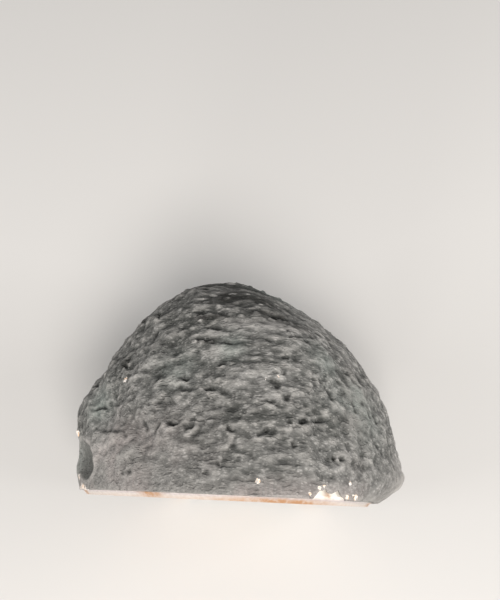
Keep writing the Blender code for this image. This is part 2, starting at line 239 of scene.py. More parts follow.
SMALL_LEDGE_DEPTHS = (0.0004, 0.0012)

# Knobs left standing at the scar's upper end and on the corner by the rim: (place, height, spread)
KNOBS = (((-0.0764, -0.0175, 0.0979), 0.0014, 0.0024), ((0.0668, -0.0362, 0.1000), 0.0012, 0.0045))
STEADY = 0.016  # the lumps fade this near the scar, which keeps its clean edge

# Smooth, worn places: (place, spread along X, Y and Z)
WORN = (
    ((-0.052, -0.030, 0.136), (0.032, 0.017, 0.042)),
    ((0.044, -0.006, 0.135), (0.006, 0.020, 0.018)),
    ((0.064, -0.036, 0.108), (0.012, 0.010, 0.030)),
    ((-0.066, -0.034, 0.110), (0.016, 0.014, 0.025)),
)
WORN_SMOOTH = 0.88  # the share of the roughness that is gone from a worn place


def noises(points, length, octaves=1):
    """Noise from -1 to 1 at these points, in blobs of about this length."""
    if octaves == 1:
        return np.array([noise.noise(Vector(p)) for p in points / length])
    return np.array([noise.fractal(Vector(p), 0.9, 2.1, octaves) for p in points / length])


def knobs(points, length):
    """Rounded knobs of about this length: 0 in the seams between them, 1 on their crowns."""
    cells = [noise.voronoi(Vector(p))[0] for p in points / length]
    return np.clip(np.array([cell[1] - cell[0] for cell in cells]) * 1.7, 0, 1) ** 0.7


def grains(points, length):
    """Round grains of about this length, each of its own height: 1 on the tallest, 0 between them."""
    heights = np.empty(len(points))
    for k, p in enumerate(points / length):
        distances, centres = noise.voronoi(Vector(p))
        tallness = max(0.0, noise.cell(centres[0] * 7.0) * 1.5 - 0.5)
        heights[k] = tallness * math.sqrt(max(0.0, 1 - (distances[0] / 0.50) ** 2))
    return heights


def ledge_relief(points, ledges):
    """Depth of the slots and height of the lips in front of them, both fading toward a ledge's ends."""
    relief = np.zeros(len(points))
    for start, end, depth in ledges:
        a, b = np.array(start), np.array(end)
        reach = np.linalg.norm(b - a) / 2 + 0.008
        near = np.nonzero(np.linalg.norm(points - (a + b) / 2, axis=1) < reach)[0]
        for shift, width, height in ((0.0, LEDGE_WIDTH, -depth), (LIP_SHIFT, LIP_WIDTH, LIP_HEIGHT * depth)):
            v = points[near] - a - shift
            along = np.clip(v @ (b - a) / ((b - a) @ (b - a)), 0, 1)
            full = 0.45 + 0.55 * np.sqrt(4 * along * (1 - along))
            away = np.linalg.norm(v - along[:, None] * (b - a), axis=1)
            relief[near] += height * full * np.exp(-((away / (width * full)) ** 2))
    return relief


def small_ledges():
    """Short slots strewn over the rind, as (one end, other end, depth), most of them lying level."""
    rng = np.random.default_rng(SMALL_LEDGE_SEED)
    d = rng.normal(size=(SMALL_LEDGES, 3))
    d[:, 1] = np.abs(d[:, 1])
    d /= np.linalg.norm(d, axis=1)[:, None]
    centres = place(d, nodule_radius(d))
    across = np.cross(d, (0.0, 0.0, 1.0))
    across = across * np.sign(across[:, :1]) + 0.25 * rng.normal(size=d.shape)
    across /= np.linalg.norm(across, axis=1)[:, None]
    half = rng.uniform(*SMALL_LEDGE_HALVES, SMALL_LEDGES)[:, None] * across
    return list(zip(centres - half, centres + half, rng.uniform(*SMALL_LEDGE_DEPTHS, SMALL_LEDGES)))


def worn(points):
    """1 where the rind is worn smooth, 0 where it is rough."""
    smooth = np.zeros(len(points))
    for centre, spread in WORN:
        away = (points - np.array(centre)) / np.array(spread)
        smooth = np.maximum(smooth, np.exp(-(away**2).sum(axis=1)))
    return smooth


def rind_radius(d):
    radius = nodule_radius(d)
    points = place(d, radius)
    strayed = points.copy()
    for length, distance in WANDERS:
        strayed += distance * np.column_stack([noises(points + k, length) for k in (0.0, 0.31, 0.57)])
    rough = behind_rim(points, ROUGH_BEHIND) * (1 - WORN_SMOOTH * worn(points))
    rough *= CALM + (1 - CALM) * behind_rim(points, CALM_BEHIND)
    patches = np.clip(0.70 + 0.9 * noises(points + 0.2, PATCH_LENGTH), 0.25, 1.2)
    crumbled = np.clip(0.75 + 1.1 * noises(points + 0.4, CRUMBLING), 0.1, 1.5)
    steady = np.exp(-((points - SCAR_PLACE) ** 2).sum(axis=1) / STEADY**2)
    radius = radius + (1 - 0.9 * steady) * behind_rim(points) * LUMP_HEIGHT * noises(points, LUMP_LENGTH, 3)
    for knob, height, spread in KNOBS:
        radius += height * np.exp(-((points - np.array(knob)) ** 2).sum(axis=1) / spread**2)
    radius += rough * RIPPLE_HEIGHT * noises(strayed, RIPPLE_LENGTH, 2)
    radius += rough * patches * KNOB_HEIGHT * (knobs(strayed, KNOB_LENGTH) - 0.7)
    radius += rough * patches * GRAIN_HEIGHT * (grains(strayed + 0.1, GRAIN_LENGTH) - 0.25)
    in_metres = [(np.array(a) / 1000, np.array(b) / 1000, depth / 1000) for a, b, depth in LEDGES]
    radius += crumbled * ledge_relief(strayed, in_metres)
    radius += rough * crumbled * ledge_relief(strayed, small_ledges())
    ribs = np.sin(2 * math.pi * np.linalg.norm(points - STRUCK, axis=1) / RIB_LENGTH)
    radius += np.clip((whole_radius(d) - nodule_radius(d)) / 0.0010, 0, 1) * RIB_HEIGHT * ribs
    return np.maximum(radius, wall_radius(d) + THINNEST_RIND)


def read_points(obj):
    points = np.empty(len(obj.data.vertices) * 3)
    obj.data.vertices.foreach_get("co", points)
    return points.reshape(-1, 3)


def move_points(obj, points):
    obj.data.vertices.foreach_set("co", np.ascontiguousarray(points, dtype=np.float32).ravel())
    obj.data.update()


def add_ball(name, fineness, radius_of, heart=HEART, grown=0.0):
    """A ball of triangles round the heart, each corner moved out to the form's radius."""
    bpy.ops.object.select_all(action="DESELECT")
    bpy.ops.mesh.primitive_ico_sphere_add(subdivisions=fineness, radius=1.0)
    ball = bpy.context.object
    ball.name = name
    points = read_points(ball)
    d = points / np.linalg.norm(points, axis=1)[:, None]
    move_points(ball, place(d, radius_of(d) + grown, heart))
    return ball


def saw(obj, point, normal):
    """Cuts off what lies beyond the plane, and closes the cut."""
    bpy.ops.object.select_all(action="DESELECT")
    bpy.context.view_layer.objects.active = obj
    obj.select_set(True)
    bpy.ops.object.mode_set(mode="EDIT")
    bpy.ops.mesh.select_all(action="SELECT")
    bpy.ops.mesh.bisect(plane_co=point, plane_no=normal, use_fill=True, clear_outer=True, threshold=1e-6)
    bpy.ops.object.mode_set(mode="OBJECT")


def cut(obj, operation, other, with_itself=False):
    """Applies a Boolean with the other object, and throws the other away."""
    bpy.ops.object.select_all(action="DESELECT")
    bpy.context.view_layer.objects.active = obj
    obj.select_set(True)
    modifier = obj.modifiers.new("cut", "BOOLEAN")
    modifier.operation = operation
    modifier.object = other
    modifier.solver = "EXACT"
    modifier.use_self = with_itself
    bpy.ops.object.modifier_apply(modifier=modifier.name)
    bpy.data.objects.remove(other)


def smoothed(obj, values, rounds):
    """The values, one for each point of the mesh, averaged with their neighbours' this many times."""
    ends = np.empty(len(obj.data.edges) * 2, np.int32)
    obj.data.edges.foreach_get("vertices", ends)
    a, b = ends.reshape(-1, 2).T
    neighbours = np.bincount(a, minlength=len(values)) + np.bincount(b, minlength=len(values))
    for _ in range(rounds):
        total = np.bincount(a, values[b], len(values)) + np.bincount(b, values[a], len(values))
        values = 0.5 * values + 0.5 * total / np.maximum(neighbours, 1)
    return values


def keep(obj, name, values):
    """Stores one number for each point of the mesh, for its material to read."""
    attribute = obj.data.attributes.new(name, "FLOAT", "POINT")
    attribute.data.foreach_set("value", np.ascontiguousarray(values, dtype=np.float32))


RIND_FINENESS = 8  # each step up has four times the triangles
rind = add_ball("rind_skin", RIND_FINENESS, rind_radius)
saw(rind, (0, FACE_Y + BEVEL, 0), (0, -1, 0))
saw(rind, (0, 0, 0), (0, 0, -1))
cut(rind, "DIFFERENCE", add_ball("room_for_wall", RIND_FINENESS - 2, wall_radius, grown=-SEATED))

# A chip out of the rind at the rim, which bares the wall: its outline from above, in millimetres
CHIP = (
    (23.6, -46.0), (24.6, -42.1), (27.3, -38.9), (28.4, -38.9), (29.6, -38.2), (30.2, -39.6), (32.0, -39.9),
    (34.6, -38.5), (35.6, -40.4), (37.3, -41.5), (38.4, -46.0),
)
CHIP_FLOOR = 0.135  # the cutter reaches from inside the wall
CHIP_CEILING = 0.170  # to above the stone
bpy.ops.object.select_all(action="DESELECT")
bpy.ops.mesh.primitive_circle_add(vertices=len(CHIP), fill_type="NGON", location=(0, 0, 0))
chip = bpy.context.object
move_points(chip, [(x / 1000, y / 1000, CHIP_FLOOR) for x, y in CHIP])
bpy.ops.object.mode_set(mode="EDIT")
bpy.ops.mesh.extrude_region_move(TRANSFORM_OT_translate={"value": (0, 0, CHIP_CEILING - CHIP_FLOOR)})
bpy.ops.mesh.select_all(action="SELECT")
bpy.ops.mesh.normals_make_consistent(inside=False)
bpy.ops.object.mode_set(mode="OBJECT")
cut(rind, "DIFFERENCE", chip)

# The grinding wheel that made the bevel has run over the rind's edge too, deeper to the right, and less so
# where the stone widens behind the front.
ROUNDED = 0.0015  # how far back the wheel has taken the rind's edge at most
ROUNDED_LEFT = 0.45  # the share of it on the left
LEFT_ON_WALL = 0.0004  # how thick the wheel leaves the rind there
bpy.ops.object.select_all(action="DESELECT")
rind.select_set(True)
bpy.context.view_layer.objects.active = rind
bpy.ops.object.mode_set(mode="EDIT")
bpy.ops.mesh.select_all(action="SELECT")
bpy.ops.mesh.quads_convert_to_tris()
bpy.ops.object.mode_set(mode="OBJECT")
rind_points = read_points(rind)
toward, distance = seen_from_heart(rind_points.copy())
beyond_wall = distance - wall_radius(toward)
at_front = rind_points[:, 1] < FACE_Y + BEVEL + 1e-5
beyond_wall = beyond_wall[at_front]
most = (beyond_wall - LEFT_ON_WALL) / np.maximum(widening(toward[at_front]), 0.05)
further_right = np.clip((rind_points[at_front, 0] + 0.010) / 0.030, 0, 1)
share = ROUNDED_LEFT + (1 - ROUNDED_LEFT) * further_right
rind_points[at_front, 1] += share * np.clip(np.minimum(beyond_wall, most), 0, ROUNDED)
move_points(rind, rind_points)

# What the material reads: crevices lie below their surroundings and are painted in shade, and crowns stand
# above them.
MOST_RELIEF = 0.004
SURROUNDINGS = 14  # rounds of smoothing
CREVICE_DEPTH = 0.00055
CROWN_HEIGHT = 0.00045
CREVICES_BEHIND = 0.007
DUSTY_BEHIND = 0.013  # saw dust lies on the rind this far behind the rim
rind_points = read_points(rind)
toward, distance = seen_from_heart(rind_points.copy())
relief = np.clip(distance - nodule_radius(toward), -MOST_RELIEF, MOST_RELIEF)
above = relief - smoothed(rind, relief, SURROUNDINGS)
# The crevices are painted in shade, darkest where they lie deepest, from a little behind the rim.
keep(rind, "crevice_shade", np.clip(-above / CREVICE_DEPTH, 0, 1) * behind_rim(rind_points, CREVICES_BEHIND))
whole = whole_radius(toward)
# The scar's flaked floor is painted a darker green-grey, more toward its steep side by the crest: partly the
# fresh break's own colour, partly painted shade.
flaked = np.clip((whole - scarred(toward, whole)) / 0.0008, 0, 1)
keep(rind, "scar_break_and_shade", flaked * np.clip((rind_points[:, 0] + 0.0745) / 0.0040, 0.10, 1))
# Along the scar's crest the rind is painted paler: painted highlight. On the other crowns the paleness is
# partly rubbed wear, partly painted highlight.
scar_crest_highlight = np.clip((whole - scarred(toward, whole, wider=0.0011)) / 0.0007, 0, 1) * (1 - flaked)
keep(rind, "crown_wear_and_highlight", np.maximum(np.clip(above / CROWN_HEIGHT, 0, 1), scar_crest_highlight))
keep(rind, "dusty", np.maximum(1 - behind_rim(rind_points, DUSTY_BEHIND), worn(rind_points)))

# Places where bare quartz shows through: (place, radius), in millimetres
BARE = (
    ((4.3, -36.7, 160.8), 1.1), ((39.6, -35.9, 147.9), 0.9), ((38.5, -40.8, 149.1), 1.2),
    ((42.5, -40.9, 145.6), 1.5), ((41.1, -40.2, 147.0), 0.9), ((44.7, -41.0, 143.7), 1.0),
    ((-70.3, -41.5, 106.5), 2.4), ((-73.1, -36.8, 101.7), 1.5), ((-72.2, -42.2, 101.5), 1.8),
    ((-76.4, -17.5, 97.9), 2.0), ((10.7, 3.3, 152.2), 0.6), ((6.1, 1.5, 153.1), 0.6),
    ((-52.8, 3.4, 125.2), 1.3), ((23.4, -40.3, 156.9), 0.9), ((27.0, -37.9, 155.7), 0.9),
    ((28.9, -37.4, 154.7), 0.7), ((-61.3, 29.1, 60.1), 1.4), ((20.1, 52.4, 70.0), 1.2),
    ((64.3, 3.2, 59.1), 1.2), ((-69.2, -42.3, 109.0), 2.6), ((-67.4, -42.6, 112.6), 2.2),
)
bare = np.zeros(len(rind_points))
for centre, radius in BARE:
    away = np.linalg.norm(rind_points - np.array(centre) / 1000, axis=1)
    bare = np.maximum(bare, np.clip(1.6 - away / (radius / 1000), 0, 1))
keep(rind, "bare", bare)

# Places painted in shade, mostly over the back and top where the rind turns from the light, some laid as thin
# bands: (place, spread along X, Y and Z, share), in millimetres
PAINTED_SHADE_PLACES = (
    ((-6.0, 54.0, 106.0), (26.0, 10.0, 12.0), 1.0), ((-4.0, 41.0, 125.0), (18.0, 7.0, 8.0), 1.0),
    ((-18.0, 30.0, 135.0), (11.0, 1.8, 4.0), 1.0), ((-19.0, 18.4, 140.8), (7.0, 1.2, 4.0), 0.8),
    ((9.0, 32.0, 133.5), (13.0, 3.2, 5.0), 1.0), ((21.0, 28.0, 132.0), (6.0, 5.0, 5.0), 0.7),
    ((-51.0, 33.3, 105.0), (3.6, 2.6, 4.0), 1.0), ((-41.0, 34.4, 118.0), (5.0, 1.6, 3.0), 1.0),
    ((-55.0, 11.5, 119.5), (3.0, 2.4, 3.0), 1.0), ((-7.0, 16.5, 145.5), (10.0, 1.4, 3.0), 0.8),
    ((2.0, -19.0, 158.0), (34.0, 18.0, 14.0), 0.26), ((42.0, -22.0, 146.0), (16.0, 12.0, 12.0), 0.22),
    ((30.0, 30.0, 70.0), (20.0, 20.0, 18.0), 0.6), ((-30.0, 55.0, 60.0), (16.0, 12.0, 20.0), 0.6),
)
painted_shade = np.zeros(len(rind_points))
for centre, spread, share in PAINTED_SHADE_PLACES:
    away = ((rind_points * 1000 - np.array(centre)) / np.array(spread)) ** 2
    painted_shade = np.maximum(painted_shade, share * np.clip(1.6 * np.exp(-away.sum(axis=1)), 0, 1))
keep(rind, "painted_shade", painted_shade)

# Places painted paler: partly pale bands in the rind, partly painted light on the lit right side and the
# scar's floor: (place, spread along X, Y and Z), in millimetres
PALE_AND_LIT_PLACES = (
    ((69.0, -32.0, 102.0), (9.0, 9.0, 18.0)), ((3.0, 26.5, 139.0), (16.0, 1.8, 4.0)),
    ((-13.7, 13.8, 144.5), (4.0, 2.0, 4.0)), ((-31.1, 0.6, 141.3), (3.5, 1.6, 3.0)),
    ((-60.0, -27.0, 124.0), (10.0, 7.0, 14.0)), ((-77.0, -32.0, 93.0), (3.5, 9.0, 14.0)),
)
pale_and_lit = np.zeros(len(rind_points))
for centre, spread in PALE_AND_LIT_PLACES:
    away = ((rind_points * 1000 - np.array(centre)) / np.array(spread)) ** 2
    pale_and_lit = np.maximum(pale_and_lit, np.exp(-away.sum(axis=1)))
keep(rind, "pale_and_lit", pale_and_lit)

# Green-stained places: (place, spread), in millimetres
STAINED = (
    ((44.1, -4.1, 135.1), 14.0), ((-8.6, 15.3, 145.6), 6.0), ((-65.1, -6.0, 113.2), 9.0),
    ((-30.3, 6.9, 139.6), 8.0), ((30.0, 12.0, 138.0), 8.0), ((-76.0, -31.0, 96.0), 9.0),
    ((10.3, 53.0, 90.6), 16.0), ((-64.1, 24.4, 59.2), 14.0),
)
stain = np.zeros(len(rind_points))
for centre, spread in STAINED:
    away = np.linalg.norm(rind_points - np.array(centre) / 1000, axis=1)
    stain = np.maximum(stain, np.exp(-((away / (spread / 1000)) ** 2)))
keep(rind, "stain", stain)

bpy.ops.object.select_all(action="DESELECT")
rind.select_set(True)
bpy.context.view_layer.objects.active = rind
bpy.ops.object.shade_smooth_by_angle(angle=math.radians(60))


def new_material(name):
    material = bpy.data.materials.new(name)
    material.use_nodes = True
    return material, material.node_tree, material.node_tree.nodes["Principled BSDF"]


def add(tree, kind, inputs=None, output=0, **settings):
    """Adds a node, sets or links its inputs, and returns one of its outputs."""
    node = tree.nodes.new("ShaderNode" + kind)
    for key, value in settings.items():
        setattr(node, key, value)
    for key, value in (inputs or {}).items():
        if isinstance(value, bpy.types.NodeSocket):
            tree.links.new(value, node.inputs[key])
        else:
            node.inputs[key].default_value = value
    return node.outputs[output]


def mixed(tree, factor, a, b):
    """Colour a turning into colour b by this factor."""
    a, b = ((*c, 1.0) if isinstance(c, tuple) else c for c in (a, b))
    return add(tree, "Mix", {0: factor, 6: a, 7: b}, output=2, data_type="RGBA")


def maths(tree, operation, a, b, clamp=False):
    return add(tree, "Math", {0: a, 1: b}, operation=operation, use_clamp=clamp)


def times(tree, a, b):
    return maths(tree, "MULTIPLY", a, b)


def plus(tree, a, b):
    return maths(tree, "ADD", a, b)


def ranged(tree, value, low, high, to_low=0.0, to_high=1.0):
    """The value, stretched so that low becomes to_low and high becomes to_high."""
    ends = {"From Min": low, "From Max": high, "To Min": to_low, "To Max": to_high}
    return add(tree, "MapRange", {"Value": value, **ends})


def own(tree, name):
    """The number that keep() stored on the piece's points under this name."""
    return add(tree, "Attribute", output=2, attribute_name=name)


def cloud(tree, place_in, scale, detail=2.0, roughness=0.5):
    """Soft noise round 0.5, with this many blobs to the metre."""
    inputs = {"Vector": place_in, "Scale": scale, "Detail": detail, "Roughness": roughness}
    return add(tree, "TexNoise", inputs)


# Colours of the rind
STONE_DARK = (0.120, 0.122, 0.114)
STONE_LIGHT = (0.285, 0.280, 0.268)
PAINTED_SHADE_COLOUR = (0.014, 0.013, 0.011)
SHADE_BETWEEN_GRAINS = (0.060, 0.061, 0.056)
GRANULE = (0.60, 0.58, 0.55)
SLOT_SHADE_COLOUR = (0.045, 0.047, 0.043)
RUBBED_AND_HIGHLIT_COLOUR = (0.56, 0.54, 0.51)
PALE_AND_LIT_COLOUR = (0.56, 0.535, 0.51)
DUST_DARK = (0.235, 0.224, 0.210)
DUST_LIGHT = (0.37, 0.352, 0.332)
DUST_PINK = (0.38, 0.325, 0.310)
SCRATCH = (0.17, 0.165, 0.158)
GREEN_STAIN = (0.215, 0.250, 0.228)
CREVICE_SHADE_COLOUR = (0.020, 0.021, 0.019)
SCAR_BREAK_AND_SHADE_COLOUR = (0.108, 0.112, 0.103)
SPECK_WHITE = (0.88, 0.83, 0.78)
SPECK_IRON = (0.82, 0.56, 0.36)

rind_material, tree, shader = new_material("weathered rind")
where = add(tree, "TexCoord", output=3)
stretched = add(tree, "Mapping", {"Vector": where, "Scale": (0.55, 1.0, 1.0)})
wobble = add(tree, "TexNoise", {"Vector": where, "Scale": 260.0, "Detail": 2.0}, output=1)
wobble = add(tree, "VectorMath", {0: wobble, "Scale": 0.0016}, operation="SCALE")
grain_place = add(tree, "VectorMath", {0: stretched, 1: wobble}, operation="ADD")
fine = cloud(tree, where, 1500.0, 3.0, 0.6)
blotches = cloud(tree, where, 55.0, 4.0, 0.6)
crevice_shade, crown_wear_and_highlight, dusty = own(tree, "crevice_shade"), own(tree, "crown_wear_and_highlight"), own(tree, "dusty")

stone = mixed(tree, ranged(tree, blotches, 0.35, 0.66), STONE_DARK, STONE_LIGHT)
streaks = cloud(tree, add(tree, "Mapping", {"Vector": where, "Scale": (0.22, 1.0, 1.0)}), 330.0, 3.0, 0.6)
# Painted shade over the back and top, broken into streaky bands.
painted_shade = own(tree, "painted_shade")
painted_shade_bands = times(tree, painted_shade, ranged(tree, streaks, 0.38, 0.52, 0.65, 1.0))
stone = mixed(tree, painted_shade_bands, stone, PAINTED_SHADE_COLOUR)
fewer = ranged(tree, painted_shade, 0.2, 1.0, 1.0, 0.18)  # the dark places carry fewer pale grains
gritty = cloud(tree, stretched, 620.0, 3.0, 0.65)
heights = plus(tree, times(tree, fine, 0.00025), times(tree, gritty, 0.00060))

# Pale mineral grains of two sizes: (cells to the metre, lightest colour, share, relief)
GRAINS = ((420.0, (0.56, 0.545, 0.52), 0.52, 0.00046), (1150.0, (0.60, 0.58, 0.55), 0.45, 0.00022))
for scale, grain_colour, share, relief_height in GRAINS:
    distance_in = add(tree, "TexVoronoi", {"Vector": grain_place, "Scale": scale})
    chance = add(tree, "SeparateXYZ", {0: distance_in.node.outputs["Color"]})
    body = ranged(tree, distance_in, 0.46, 0.20)
    shown = times(tree, times(tree, body, fewer), ranged(tree, chance, 0.35, 1.0, 0.0, share))
    stone = mixed(tree, shown, stone, grain_colour)
    # The seams between the grains, which the bump sinks, are painted in shade.
    stone = mixed(tree, ranged(tree, distance_in, 0.42, 0.80, 0.0, 0.42), stone, SHADE_BETWEEN_GRAINS)
    heights = plus(tree, heights, times(tree, distance_in, -relief_height))

# Pale granules that stand apart on the dark places
granule_place = add(tree, "Mapping", {"Vector": grain_place, "Scale": (0.8, 1.0, 1.0)})
granule = add(tree, "TexVoronoi", {"Vector": granule_place, "Scale": 340.0})
standing = ranged(tree, add(tree, "SeparateXYZ", {0: granule.node.outputs["Color"]}), 0.42, 0.60)
granules = times(tree, ranged(tree, granule, 0.40, 0.26), standing)
granules = times(tree, granules, ranged(tree, painted_shade, 0.3, 0.8))
stone = mixed(tree, times(tree, granules, 0.90), stone, GRANULE)
heights = plus(tree, heights, times(tree, granules, 0.00045))

# Dark flecks: painted shade in short slots, which the bump also sinks
FLECK_TURN = (0.0, 0.25, 0.15)
lying = add(tree, "Mapping", {"Vector": grain_place, "Rotation": FLECK_TURN, "Scale": (0.42, 1.0, 1.0)})
slot_shade_spread = ranged(tree, cloud(tree, where, 75.0), 0.40, 0.60, 0.20, 1.0)
slot_shade = times(tree, ranged(tree, cloud(tree, lying, 430.0, 2.0, 0.55), 0.55, 0.63), slot_shade_spread)
stone = mixed(tree, times(tree, slot_shade, 0.80), stone, SLOT_SHADE_COLOUR)
heights = plus(tree, heights, times(tree, slot_shade, -0.00050))

# Crowns painted paler, partly rubbed wear and partly painted highlight; places painted paler, partly pale
# bands and partly painted light; and the pinkish, scratched dust of the saw beside the rim
rubbed_and_highlit = times(tree, crown_wear_and_highlight, ranged(tree, painted_shade, 0.2, 1.0, 0.46, 0.14))
stone = mixed(tree, rubbed_and_highlit, stone, RUBBED_AND_HIGHLIT_COLOUR)
# Places painted paler: partly pale bands, partly painted light.
paled_and_lit = times(tree, own(tree, "pale_and_lit"), ranged(tree, blotches, 0.3, 0.6, 0.50, 0.85))
stone = mixed(tree, paled_and_lit, stone, PALE_AND_LIT_COLOUR)
scratches = add(tree, "Mapping", {"Vector": where, "Scale": (1.0, 0.08, 0.30)})
speckled = ranged(tree, cloud(tree, where, 420.0, 3.0, 0.65), 0.35, 0.65)
dust = mixed(tree, speckled, DUST_DARK, DUST_LIGHT)
pinkish = ranged(tree, cloud(tree, where, 42.0, 2.0), 0.48, 0.62, 0.0, 0.8)
dust = mixed(tree, pinkish, dust, DUST_PINK)
scratched = ranged(tree, cloud(tree, scratches, 900.0, 2.0), 0.42, 0.68, 0.0, 0.45)
dust = mixed(tree, scratched, dust, SCRATCH)
stone = mixed(tree, times(tree, dusty, 0.60), stone, dust)

# Green stains, painted shade in the crevices, the scar's break painted darker with painted shade on its steep
# side, and bare specks of white and iron-stained quartz
stained = times(tree, own(tree, "stain"), ranged(tree, blotches, 0.3, 0.6, 0.15, 0.65))
stone = mixed(tree, stained, stone, GREEN_STAIN)
stone = mixed(tree, times(tree, crevice_shade, 0.82), stone, CREVICE_SHADE_COLOUR)
# The scar's break painted darker, with painted shade on its steep side.
broken_and_shaded = times(tree, own(tree, "scar_break_and_shade"), ranged(tree, fine, 0.3, 0.7, 0.95, 0.70))
stone = mixed(tree, broken_and_shaded, stone, SCAR_BREAK_AND_SHADE_COLOUR)
iron = ranged(tree, cloud(tree, where, 900.0), 0.46, 0.64)
quartz_speck = mixed(tree, iron, SPECK_WHITE, SPECK_IRON)
bared = plus(tree, own(tree, "bare"), ranged(tree, fine, 0.3, 0.7, -0.3, 0.3))
stone = mixed(tree, maths(tree, "GREATER_THAN", bared, 0.72), stone, quartz_speck)

tree.links.new(stone, shader.inputs["Base Color"])
tree.links.new(ranged(tree, fine, 0.3, 0.7, 0.62, 0.88), shader.inputs["Roughness"])
bump = add(tree, "Bump", {"Height": heights, "Strength": 1.0, "Distance": 1.0})
tree.links.new(bump, shader.inputs["Normal"])
shader.inputs["Specular IOR Level"].default_value = 0.35

rind.data.materials.clear()
rind.data.materials.append(rind_material)
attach(rind, "root")
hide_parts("rind")


# ------------------------------------------------------------------ Quartz wall
# The wall is banded chalcedony and milky quartz that grew inward from the rind. Its front is sawn, ground
# flat and polished like glass, with a narrow bevel round the rim. Its base is sawn flat and matt. One piece.
HOLLOW_HEART = np.array((-0.0060, FACE_Y, 0.0805))
HOLLOW_ACROSS = 0.0500
HOLLOW_UP = 0.0620
HOLLOW_DOWN = 0.0590
HOLLOW_DEPTH = 0.0800
HOLLOW_WAVES = 0.0030
HOLLOW_WAVE_LENGTH = 0.035
WALL_COLUMNS = 360
FACE_ROWS = 40
BEVEL_ROWS = 4
OUTSIDE_ROWS = 60
INSIDE_ROWS = 40
# In the chip the quartz has broken off higher than the wall's smooth outside.
CHIP_QUARTZ = np.array((0.0310, -0.0410, 0.1535))
CHIP_QUARTZ_SPREAD = 0.0055
CHIP_QUARTZ_HEIGHT = 0.0008


def hollow_radius(d):
    """Distance from the hollow's heart to its wall."""
    upright = np.where(d[:, 2] > 0, HOLLOW_UP, HOLLOW_DOWN)
    sideways = (d[:, 0] / HOLLOW_ACROSS) ** 2 + (d[:, 2] / upright) ** 2
    radius = 1 / np.sqrt(sideways + (d[:, 1] / HOLLOW_DEPTH) ** 2)
    return radius + HOLLOW_WAVES * noises(place(d, radius, HOLLOW_HEART), HOLLOW_WAVE_LENGTH)


def ring_directions(slope):
    """Directions all round the front's axis, turned this far back from the front's plane."""
    turn = 2 * math.pi * np.arange(WALL_COLUMNS) / WALL_COLUMNS
    back = np.full(WALL_COLUMNS, math.sin(slope))
    return np.column_stack((math.cos(slope) * np.cos(turn), back, math.cos(slope) * np.sin(turn)))


def outside_radius(d):
    radius = wall_radius(d)
    away = (place(d, radius) - CHIP_QUARTZ) / CHIP_QUARTZ_SPREAD
    return radius + CHIP_QUARTZ_HEIGHT * np.exp(-(away**2).sum(axis=1))


# The wall is built of rings, from the far end of the hollow over the front to the far end of the outside.
# A ring's band is 1 in the hollow, goes from 1 to 0 across the face, and is below 0 on the bevel and outside.
BEVEL_BAND = -0.08
OUTSIDE_BAND = -0.1
level = ring_directions(0.0)
mouth = place(level, hollow_radius(level), HOLLOW_HEART)
outline = place(level, wall_radius(level))
face_edge = outline - BEVEL * level
bands = []
rows = []
for k in range(INSIDE_ROWS):
    d = ring_directions(math.pi / 2 * (1 - (k + 0.35) / (INSIDE_ROWS + 0.35)))
    rows.append(place(d, hollow_radius(d), HOLLOW_HEART))
    bands.append(np.full(WALL_COLUMNS, 1.0))
for k in range(FACE_ROWS + 1):
    share = k / FACE_ROWS
    # the mouth's heart is higher than the nodule's, so a ring between the edges is found column by column
    rows.append(mouth * (1 - share) + face_edge * share)
    bands.append(np.full(WALL_COLUMNS, 1 - share))
for k in range(1, BEVEL_ROWS + 1):
    share = k / BEVEL_ROWS
    rows.append(face_edge + share * (outline - face_edge) + np.array((0, share * BEVEL, 0)))
    bands.append(np.full(WALL_COLUMNS, BEVEL_BAND * share))
for k in range(1, OUTSIDE_ROWS):
    d = ring_directions(math.pi / 2 * (k + 0.4) / (OUTSIDE_ROWS + 0.4))
    rows.append(place(d, outside_radius(d)))
    bands.append(np.full(WALL_COLUMNS, OUTSIDE_BAND))

# A grid is rolled up into the rings, its seam is merged, and its two ends are closed.
bpy.ops.object.select_all(action="DESELECT")
bpy.ops.mesh.primitive_grid_add(x_subdivisions=WALL_COLUMNS, y_subdivisions=len(rows) - 1, size=1.0)
wall = bpy.context.object
wall.name = "agate_wall"
grid = read_points(wall)
column = np.rint((grid[:, 0] + 0.5) * WALL_COLUMNS).astype(int) % WALL_COLUMNS
row = np.rint((grid[:, 1] + 0.5) * (len(rows) - 1)).astype(int)
move_points(wall, np.array(rows)[row, column])
keep(wall, "band", np.array(bands)[row, column])
bpy.ops.object.mode_set(mode="EDIT")
bpy.ops.mesh.select_all(action="SELECT")
bpy.ops.mesh.remove_doubles(threshold=1e-6)
bpy.ops.mesh.select_all(action="DESELECT")
bpy.ops.mesh.select_non_manifold(extend=False)
bpy.ops.mesh.edge_face_add()
bpy.ops.mesh.select_all(action="SELECT")
bpy.ops.mesh.normals_make_consistent(inside=False)
bpy.ops.object.mode_set(mode="OBJECT")
saw(wall, (0, 0, 0), (0, 0, -1))
bpy.ops.object.shade_smooth_by_angle(angle=math.radians(25))

# Places along the rim where iron has stained the quartz: (place, spread along X, Y and Z), in millimetres
RUSTY = (
    ((13.0, -43.6, 160.0), (22.0, 1.1, 12.0)), ((-36.0, -42.5, 147.0), (4.5, 2.4, 5.0)),
    ((58.0, -43.0, 60.0), (9.0, 1.6, 22.0)), ((-70.0, -43.0, 104.0), (4.0, 3.0, 4.0)),
    ((-60.0, -43.0, 22.0), (12.0, 2.0, 14.0)), ((31.0, -40.5, 154.0), (1.6, 1.2, 1.6)),
)
wall_points = read_points(wall) * 1000
rusty = np.zeros(len(wall_points))
for centre, spread in RUSTY:
    away = ((wall_points - np.array(centre)) / np.array(spread)) ** 2
    rusty = np.maximum(rusty, np.exp(-away.sum(axis=1)))
keep(wall, "rusty", rusty)

